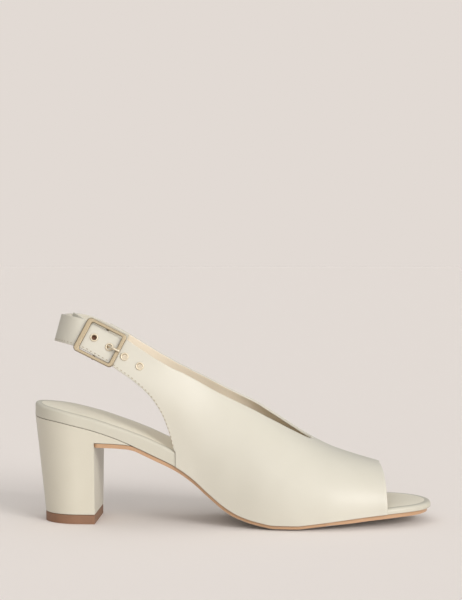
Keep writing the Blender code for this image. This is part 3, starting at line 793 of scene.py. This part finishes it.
def edge_line(side, reach, inset):
    """Points and outward normals on the upper's skin, a little inside its rear and lower edge."""
    rows = upper_side(side, reach)[UPPER_STEPS * corner_rib():]
    line = []
    for k in range(1, len(rows) - 1):
        row = rows[k]
        walked = 0.0
        n = 0
        while walked + (row[n + 1] - row[n]).length < inset:
            walked += (row[n + 1] - row[n]).length
            n += 1
        part = (inset - walked) / (row[n + 1] - row[n]).length
        point = row[n].lerp(row[n + 1], part)
        normal = (rows[k + 1][n] - rows[k - 1][n]).cross(row[n + 1] - row[n]).normalized()
        if normal.y * side < 0:
            normal.negate()
        line.append((point + normal * WALL, normal))
    return line


def add_thread(bm, start, end, normal, radius):
    """One stitch: a short rod that dips into the leather at both ends."""
    heading = (end - start).normalized()
    wide = heading.cross(normal).normalized()
    sides = 8
    rows = []
    for share, size, lift in ((0.0, 0.25, -1.2), (0.12, 0.8, -0.3), (0.3, 1.0, 0.3), (0.7, 1.0, 0.3),
                              (0.88, 0.8, -0.3), (1.0, 0.25, -1.2)):
        centre = start.lerp(end, share) + normal * radius * lift
        turns = [2 * math.pi * n / sides for n in range(sides + 1)]
        rows.append([centre + (wide * math.cos(a) + normal * math.sin(a)) * radius * size for a in turns])
    add_grid(bm, rows)
    for row in (rows[0], rows[-1]):
        middle = sum(row[:-1], Vector()) / sides
        add_grid(bm, [row, [middle] * len(row)])


def walk_line(line, pitch):
    """Places at equal distances along a line of points with normals."""
    found = []
    left = pitch / 2
    for (a, normal_a), (b, normal_b) in zip(line, line[1:]):
        length = (b - a).length
        while left <= length:
            part = left / length
            found.append((a.lerp(b, part), normal_a.lerp(normal_b, part).normalized()))
            left += pitch
        left -= length
    return found


def make_stitching(materials):
    bm = bmesh.new()
    for side, reach in side_reaches():
        places = walk_line(edge_line(side, reach, STITCH_INSET), STITCH_PITCH)
        for (a, normal), (b, unused_normal) in zip(places, places[1:]):
            add_thread(bm, a.lerp(b, 0.24), a.lerp(b, 0.76), normal, THREAD_RADIUS)
    return make_object("stitching", bm, materials)


# Sling, buckle and eyelets


def strap_point(distance, outward, upward):
    centre, unused_forward, out, up = loop_frame(distance)
    return centre + out * outward + up * upward


def sling_path():
    """The sling from its lapped medial end to its folded tail.

    Each place has its distance along the loop, its way outward, the turn of its face and its lift.
    """
    buckle = loop_distance(BUCKLE_X)
    layer = -GAP - SLING_T / 2
    fold = layer + BAR_DEPTH
    start = -(buckle + MEDIAL_BAND_END + SLING_LAP)
    count = round((buckle - start) / STRAP_STEP)
    path = [(mix(start, buckle, k / count), layer, 0.0, 0.0) for k in range(count)]
    bends = 16
    for k in range(bends + 1):
        turn = math.pi * k / bends
        path.append((buckle + fold * math.sin(turn), fold * math.cos(turn) - BAR_DEPTH, turn, 0.0))
    tail = 20
    for k in range(1, tail + 1):
        share = k / tail
        path.append((buckle - SLING_TAIL * share, -fold - BAR_DEPTH, math.pi, SLING_TAIL_LIFT * share))
    return path


def make_sling(materials, cutter):
    bm = bmesh.new()
    loops = []
    faces = []
    parts = 8
    for distance, outward, turn, lift in sling_path():
        skins = []
        for half in (SLING_T / 2, -SLING_T / 2):
            skins.append([strap_point(distance + half * math.sin(turn), outward + half * math.cos(turn),
                                      lift + STRAP_WIDTH * (k / parts - 0.5)) for k in range(parts + 1)])
        faces.append(skins)
        loops.append(skins[0] + skins[1][::-1] + skins[0][:1])
    add_grid(bm, loops)
    add_grid(bm, faces[0])
    add_grid(bm, faces[-1])
    made = make_object("sling_strap", bm, materials, (rounding(LEATHER_EDGE), cut_by(cutter)))
    # Painted shade: the sling's faces under the first two eyelets take a dark brown, standing in for the
    # shadow seen down these holes
    painted_shade_places = [strap_point(distance, 0.0, 0.0) for distance in eyelet_distances()[:2]]
    for face in made.data.polygons:
        nearest = min((face.center - point).length for point in painted_shade_places)
        face.material_index = int(nearest < EYELET_RADIUS + SLING_T)
    return made


def buckle_frame_of_reference():
    """Centre, length axis, outward normal and width axis of the buckle, which sits slightly turned."""
    centre, forward, out, up = loop_frame(loop_distance(BUCKLE_X))
    turned_forward = forward * math.cos(BUCKLE_TURN) + up * math.sin(BUCKLE_TURN)
    turned_up = up * math.cos(BUCKLE_TURN) - forward * math.sin(BUCKLE_TURN)
    return centre - up * BUCKLE_DROP, turned_forward, out, turned_up


def on_buckle(along, outward, upward):
    centre, forward, out, up = buckle_frame_of_reference()
    return centre + forward * along + out * outward + up * upward


def rounded_rectangle(low, high, half_width, radius, steps=12):
    points = []
    corners = ((high - radius, half_width - radius, 0), (low + radius, half_width - radius, 1),
               (low + radius, radius - half_width, 2), (high - radius, radius - half_width, 3))
    for x, y, quarter in corners:
        for k in range(steps):
            angle = (quarter + k / (steps - 1)) * math.pi / 2
            points.append((x + radius * math.cos(angle), y + radius * math.sin(angle)))
    return points


def tube(bm, path, radius, sides, across_axis):
    """Round rod along points that lie in one plane, whose normal is given."""
    rows = []
    for k, point in enumerate(path):
        before = path[max(k - 1, 0)]
        after = path[min(k + 1, len(path) - 1)]
        heading = (after - before).normalized()
        other = across_axis.cross(heading).normalized()
        turns = [2 * math.pi * n / sides for n in range(sides + 1)]
        rows.append([point + (across_axis * math.cos(a) + other * math.sin(a)) * radius for a in turns])
    add_grid(bm, rows)
    for row, point in ((rows[0], path[0]), (rows[-1], path[-1])):
        add_grid(bm, [row, [point] * len(row)])


def make_buckle(materials):
    half = BUCKLE_LENGTH / 2
    outer = rounded_rectangle(-half, half, BUCKLE_WIDTH / 2, BUCKLE_CORNER)
    inner = rounded_rectangle(-half + BUCKLE_BACK_BAR, half - BUCKLE_FRONT_BAR,
                              BUCKLE_WIDTH / 2 - BUCKLE_RAIL, BUCKLE_CORNER / 2)
    low = WALL + GAP
    high = low + BUCKLE_DEPTH
    edge = 0.2
    bevel = edge * BUCKLE_RAIL
    section = []
    corners = ((edge, high - bevel, 1), (1 - edge, high - bevel, 0),
               (1 - edge, low + bevel, -1), (edge, low + bevel, -2))
    for share, outward, quarter in corners:
        for k in range(6):
            angle = (quarter - k / 5 + 1) * math.pi / 2
            section.append((share + edge * math.cos(angle), outward + bevel * math.sin(angle)))
    rows = []
    for share, outward in section + section[:1]:
        row = []
        for a, b in zip(outer + outer[:1], inner + inner[:1]):
            row.append(on_buckle(mix(a[0], b[0], share), outward, mix(a[1], b[1], share)))
        rows.append(row)
    bm = bmesh.new()
    add_grid(bm, rows)
    reach = BUCKLE_WIDTH / 2 - BUCKLE_RAIL / 2
    top = WALL + GAP + BUCKLE_DEPTH / 2
    bend = PIN_RADIUS
    path = [(top, -reach), (bend - BAR_DEPTH, -reach), (-BAR_DEPTH, bend - reach),
            (-BAR_DEPTH, reach - bend), (bend - BAR_DEPTH, reach), (top, reach)]
    forward = buckle_frame_of_reference()[1]
    tube(bm, [on_buckle(0.0, outward, upward) for outward, upward in path], PIN_RADIUS, 20, forward)
    return make_object("buckle_frame", bm, materials, sharp=50)


def prong_lift():
    """Where the prong runs across the buckle's width, to meet its eyelet."""
    return BUCKLE_DROP - EYELET_PITCH * EYELET_ROW_SLOPE - PRONG_EYELET_OFFSET * math.sin(BUCKLE_TURN)


def softened(path, rounds=2):
    """Corners cut twice, so that a bent rod looks bent and not mitred."""
    for unused in range(rounds):
        cut = [path[0]]
        for a, b in zip(path, path[1:]):
            cut += [a.lerp(b, 0.25), a.lerp(b, 0.75)]
        path = cut + [path[-1]]
    return path


def make_prong(materials):
    """Rod that wraps the centre bar, rises through an eyelet and rests on the front bar."""
    ring = PIN_RADIUS + GAP + PRONG_RADIUS
    path = []
    for k in range(8):
        turn = math.radians(340 - 250 * k / 7)
        path.append((ring * math.cos(turn), ring * math.sin(turn) - BAR_DEPTH))
    hole = PRONG_EYELET_OFFSET
    front = WALL + GAP + BUCKLE_DEPTH + GAP + PRONG_RADIUS
    half = BUCKLE_LENGTH / 2
    path += [
        (0.55 * hole, ring - BAR_DEPTH),
        (hole - 0.9 * MM, -0.8 * MM),
        (hole - 0.3 * MM, 0.3 * WALL),
        (hole, 0.9 * WALL),
        (hole + 0.35 * MM, 1.6 * WALL),
        (hole + 1.4 * MM, front - 0.9 * MM),
        (hole + 3.0 * MM, front - 0.2 * MM),
        (half - BUCKLE_FRONT_BAR, front),
        (half, front),
    ]
    bm = bmesh.new()
    up = buckle_frame_of_reference()[3]
    lift = prong_lift()
    line = softened([on_buckle(along, outward, lift) for along, outward in path])
    tube(bm, line, PRONG_RADIUS, 16, up)
    return make_object("buckle_prong", bm, materials, sharp=60)


def eyelet_distances():
    """Distance of each eyelet along the loop, from the tab's tip forwards; the second one holds the prong."""
    forward = buckle_frame_of_reference()[1]
    level = math.hypot(forward.x, forward.y)
    first = loop_distance(BUCKLE_X) + (PRONG_EYELET_OFFSET - EYELET_PITCH) * level
    return [first + EYELET_PITCH * level * k for k in range(EYELET_COUNT)]


def turned(bm, distance, profile, sides):
    """Turned ring about the outward axis of the eyelet row; the profile holds radius and outward distance."""
    centre, forward, out, up = loop_frame(distance)
    centre -= up * (EYELET_ROW_SLOPE * (distance - eyelet_distances()[0]))
    rows = []
    for radius, outward in profile:
        turns = [2 * math.pi * n / sides for n in range(sides + 1)]
        rim = centre + out * outward
        rows.append([rim + (forward * math.cos(a) + up * math.sin(a)) * radius for a in turns])
    add_grid(bm, rows)


def make_eyelet(number, distance, materials):
    foot = WALL + GAP
    sleeve = EYELET_BORE + EYELET_WALL
    middle = (EYELET_BORE + EYELET_RADIUS) / 2
    half = (EYELET_RADIUS - EYELET_BORE) / 2
    profile = [(EYELET_BORE, 0.0)]
    for k in range(9):
        turn = math.pi * (1 - k / 8)
        profile.append((middle + half * math.cos(turn), foot - 0.1 * MM + EYELET_DOME * math.sin(turn)))
    profile += [(EYELET_RADIUS - 0.15 * MM, foot - 0.2 * MM), (sleeve, foot - 0.2 * MM), (sleeve, 0.0)]
    bm = bmesh.new()
    turned(bm, distance, profile + profile[:1], 40)
    return make_object(f"eyelet_{number}", bm, materials, sharp=60)


def as_cutter(thing):
    thing.hide_render = True
    thing.hide_viewport = False
    thing.display_type = "WIRE"
    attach(thing, "root")
    return thing


def make_hole_cutter(materials):
    bm = bmesh.new()
    radius = EYELET_BORE + EYELET_WALL + GAP / 2
    for distance in eyelet_distances():
        turned(bm, distance, [(0.0, -WALL), (radius, -WALL), (radius, 2 * WALL), (0.0, 2 * WALL)], 24)
    return as_cutter(make_object("eyelet_holes", bm, materials))


def make_slot_cutter(materials):
    """Slot in the sling's fold, where the prong wraps the centre bar."""
    half_width = PRONG_RADIUS + 3 * GAP
    reach = PIN_RADIUS + 2 * PRONG_RADIUS + 4 * GAP
    lift = prong_lift()
    low, high = lift - half_width, lift + half_width
    bm = bmesh.new()
    rows = []
    for outward in (-2 * BAR_DEPTH, WALL / 2):
        corners = ((-reach, low), (reach, low), (reach, high), (-reach, high))
        row = [on_buckle(along, outward, upward) for along, upward in corners]
        rows.append(row + row[:1])
    add_grid(bm, rows)
    for row in rows:
        bm.faces.new([bm.verts.new(point) for point in row[:4]])
    return as_cutter(make_object("prong_slot", bm, materials))


# Finishes


def shader(name, colour, roughness, metallic=0.0, coat=0.0, coat_roughness=0.1):
    material = bpy.data.materials.new(name)
    material.use_nodes = True
    main = material.node_tree.nodes["Principled BSDF"]
    main.inputs["Base Color"].default_value = (*colour, 1.0)
    main.inputs["Roughness"].default_value = roughness
    main.inputs["Metallic"].default_value = metallic
    main.inputs["Coat Weight"].default_value = coat
    main.inputs["Coat Roughness"].default_value = coat_roughness
    return material, material.node_tree, main


def add_grain(tree, main, scale, strength, distance, detail=3.0):
    """Fine grain of the surface as a bump, in the object's own coordinates."""
    coordinates = tree.nodes.new("ShaderNodeTexCoord")
    noise = tree.nodes.new("ShaderNodeTexNoise")
    noise.inputs["Scale"].default_value = scale
    noise.inputs["Detail"].default_value = detail
    bump = tree.nodes.new("ShaderNodeBump")
    bump.inputs["Strength"].default_value = strength
    bump.inputs["Distance"].default_value = distance
    tree.links.new(coordinates.outputs["Object"], noise.inputs["Vector"])
    tree.links.new(noise.outputs["Fac"], bump.inputs["Height"])
    tree.links.new(bump.outputs["Normal"], main.inputs["Normal"])
    return coordinates


def add_mottle(tree, main, colour, shade, scale, coordinates):
    """Faint cloudy change between two close colours."""
    noise = tree.nodes.new("ShaderNodeTexNoise")
    noise.inputs["Scale"].default_value = scale
    noise.inputs["Detail"].default_value = 2.0
    ramp = tree.nodes.new("ShaderNodeValToRGB")
    ramp.color_ramp.elements[0].position = 0.35
    ramp.color_ramp.elements[0].color = (*shade, 1.0)
    ramp.color_ramp.elements[1].position = 0.65
    ramp.color_ramp.elements[1].color = (*colour, 1.0)
    tree.links.new(coordinates.outputs["Object"], noise.inputs["Vector"])
    tree.links.new(noise.outputs["Fac"], ramp.inputs["Fac"])
    tree.links.new(ramp.outputs["Color"], main.inputs["Base Color"])


def leather(name, colour, shade, roughness, coat=0.0, grain=0.25):
    material, tree, main = shader(name, colour, roughness, 0.0, coat, 0.25)
    coordinates = add_grain(tree, main, 1400.0, grain, 0.00008)
    add_mottle(tree, main, colour, shade, 60.0, coordinates)
    return material


# Build

cream = leather("cream_leather", CREAM, CREAM_SHADE, 0.52, 0.12)
# Heel cover: the upper's cream leather as a lighter copy, with painted light
heel_cream_painted_light = leather("heel_leather_painted_light", HEEL_CREAM_PAINTED_LIGHT, HEEL_CREAM_PAINTED_LIGHT_SHADE, 0.45, 0.2)
# Footbed and rand: the upper's cream leather as a darker copy, with painted shade
rand_cream_painted_shade = leather("rand_leather_painted_shade", RAND_CREAM_PAINTED_SHADE, RAND_CREAM_PAINTED_SHADE_DARKER, 0.5, 0.1)
# Lining: real lining leather with painted light, lighter than its own colour
lining = leather("lining_leather_painted_light", LINING_PAINTED_LIGHT, LINING_PAINTED_LIGHT_SHADE, 0.6)
sock = leather("sock_leather", SOCK, SOCK_SHADE, 0.55)
tan = leather("tan_edge", TAN, TAN_SHADE, 0.45, 0.1)
underside = leather("sole_underside", UNDERSIDE, UNDERSIDE_SHADE, 0.7)
brown = leather("brown_rubber", BROWN, BROWN_SHADE, 0.6)
gold = shader("pale_gold", GOLD, 0.42, 1.0)[0]
eyelet_gold = shader("eyelet_gold", EYELET_GOLD, 0.45, 0.6)[0]
# Painted shade for the sling under the first two eyelets
hole_painted_shade = shader("hole_painted_shade", HOLE_PAINTED_SHADE, 0.9)[0]
thread = shader("thread", THREAD, 0.7)[0]

place(make_outsole([tan, underside]), "outsole", "outsole")
place(make_footbed([rand_cream_painted_shade]), "upper_leather", "footbed")
place(make_sock([sock]), "lining", "insole_sock")
place(make_heel_block([heel_cream_painted_light]), "upper_leather", "heel_block")
place(make_top_piece([brown]), "top_piece", "heel_top_piece")
place(make_upper([cream, lining], make_hole_cutter([cream])), "upper_leather", "upper")
place(make_stitching([thread]), "upper_leather")
place(make_sling([cream, hole_painted_shade], make_slot_cutter([cream])), "upper_leather", "sling_strap")
place(make_buckle([gold]), "buckle", "buckle_frame")
place(make_prong([eyelet_gold]), "buckle", "buckle_prong")
for number, distance in enumerate(eyelet_distances(), 1):
    place(make_eyelet(number, distance, [eyelet_gold]), "buckle", f"eyelet_{number}")


# Studio

# The sky, darker towards the horizon, gives the floor what the other lights leave.
ambient_share = FLOOR_LIGHT - STRIP_SHARE - KEY[3] - FRONT_FILL[3] - SIDE_FILL[3]
ambient_rise = 1.5 * (ambient_share - AMBIENT_LOW)

world = bpy.data.worlds.new("studio")
bpy.context.scene.world = world
world.use_nodes = True
nodes = world.node_tree.nodes
links = world.node_tree.links
place_in_sky = nodes.new("ShaderNodeTexCoord")
height = nodes.new("ShaderNodeSeparateXYZ")
brightness = nodes.new("ShaderNodeMapRange")
brightness.inputs["To Min"].default_value = AMBIENT_LOW
brightness.inputs["To Max"].default_value = AMBIENT_LOW + ambient_rise
seen = nodes.new("ShaderNodeLightPath")
choice = nodes.new("ShaderNodeMixRGB")
choice.inputs["Color2"].default_value = (*BACKDROP, 1.0)
links.new(place_in_sky.outputs["Generated"], height.inputs["Vector"])
links.new(height.outputs["Z"], brightness.inputs["Value"])
links.new(brightness.outputs["Result"], choice.inputs["Color1"])
links.new(seen.outputs["Is Camera Ray"], choice.inputs["Fac"])
links.new(choice.outputs["Color"], nodes["Background"].inputs["Color"])

floor_mesh = bmesh.new()
bmesh.ops.create_grid(floor_mesh, x_segments=1, y_segments=1, size=FLOOR_REACH)
floor_data = bpy.data.meshes.new("floor")
floor_mesh.to_mesh(floor_data)
floor_mesh.free()
floor = bpy.data.objects.new("floor", floor_data)
bpy.context.collection.objects.link(floor)
floor_colour = [value / FLOOR_LIGHT for value in BACKDROP]
floor_material, floor_tree, floor_shader = shader("floor", floor_colour, 1.0)
floor_shader.inputs["Specular IOR Level"].default_value = 0.0
floor_data.materials.append(floor_material)


def sun(name, azimuth, elevation, energy, spread):
    """Light from infinitely far; azimuth runs from the front (0) to the toe side (90)."""
    data = bpy.data.lights.new(name, "SUN")
    data.energy = energy
    data.angle = math.radians(spread)
    made = bpy.data.objects.new(name, data)
    bpy.context.collection.objects.link(made)
    a, e = math.radians(azimuth), math.radians(elevation)
    back = Vector((math.sin(a) * math.cos(e), -math.cos(a) * math.cos(e), math.sin(e)))
    made.rotation_mode = "QUATERNION"
    made.rotation_quaternion = (-back).to_track_quat("-Z", "Y")
    return made


def strength(share, elevation):
    """Strength of a light that gives the floor this share of its brightness."""
    return share * math.pi / math.sin(math.radians(elevation))


for number, azimuth in enumerate(STRIP_AZIMUTHS, 1):
    part_share = STRIP_SHARE / len(STRIP_AZIMUTHS)
    sun(f"strip_{number}", azimuth, STRIP_ELEVATION, strength(part_share, STRIP_ELEVATION), STRIP_SPREAD)
for name, light in (("key", KEY), ("front_fill", FRONT_FILL), ("side_fill", SIDE_FILL)):
    azimuth, elevation, spread, share = light
    sun(name, azimuth, elevation, strength(share, elevation), spread)

bpy.context.scene.view_settings.view_transform = "Standard"
camera_data = bpy.data.cameras.new("camera")
camera_data.sensor_width = SENSOR_WIDTH
camera_data.lens = CAMERA_LENS
camera_data.shift_y = CAMERA_SHIFT
camera_data.clip_start = 0.05
camera_data.clip_end = 50.0
camera = bpy.data.objects.new("camera", camera_data)
bpy.context.collection.objects.link(camera)
camera.location = Vector(CAMERA_AT) + ROW_SHIFT
camera.rotation_euler = (math.pi / 2, 0.0, CAMERA_YAW)
bpy.context.scene.camera = camera
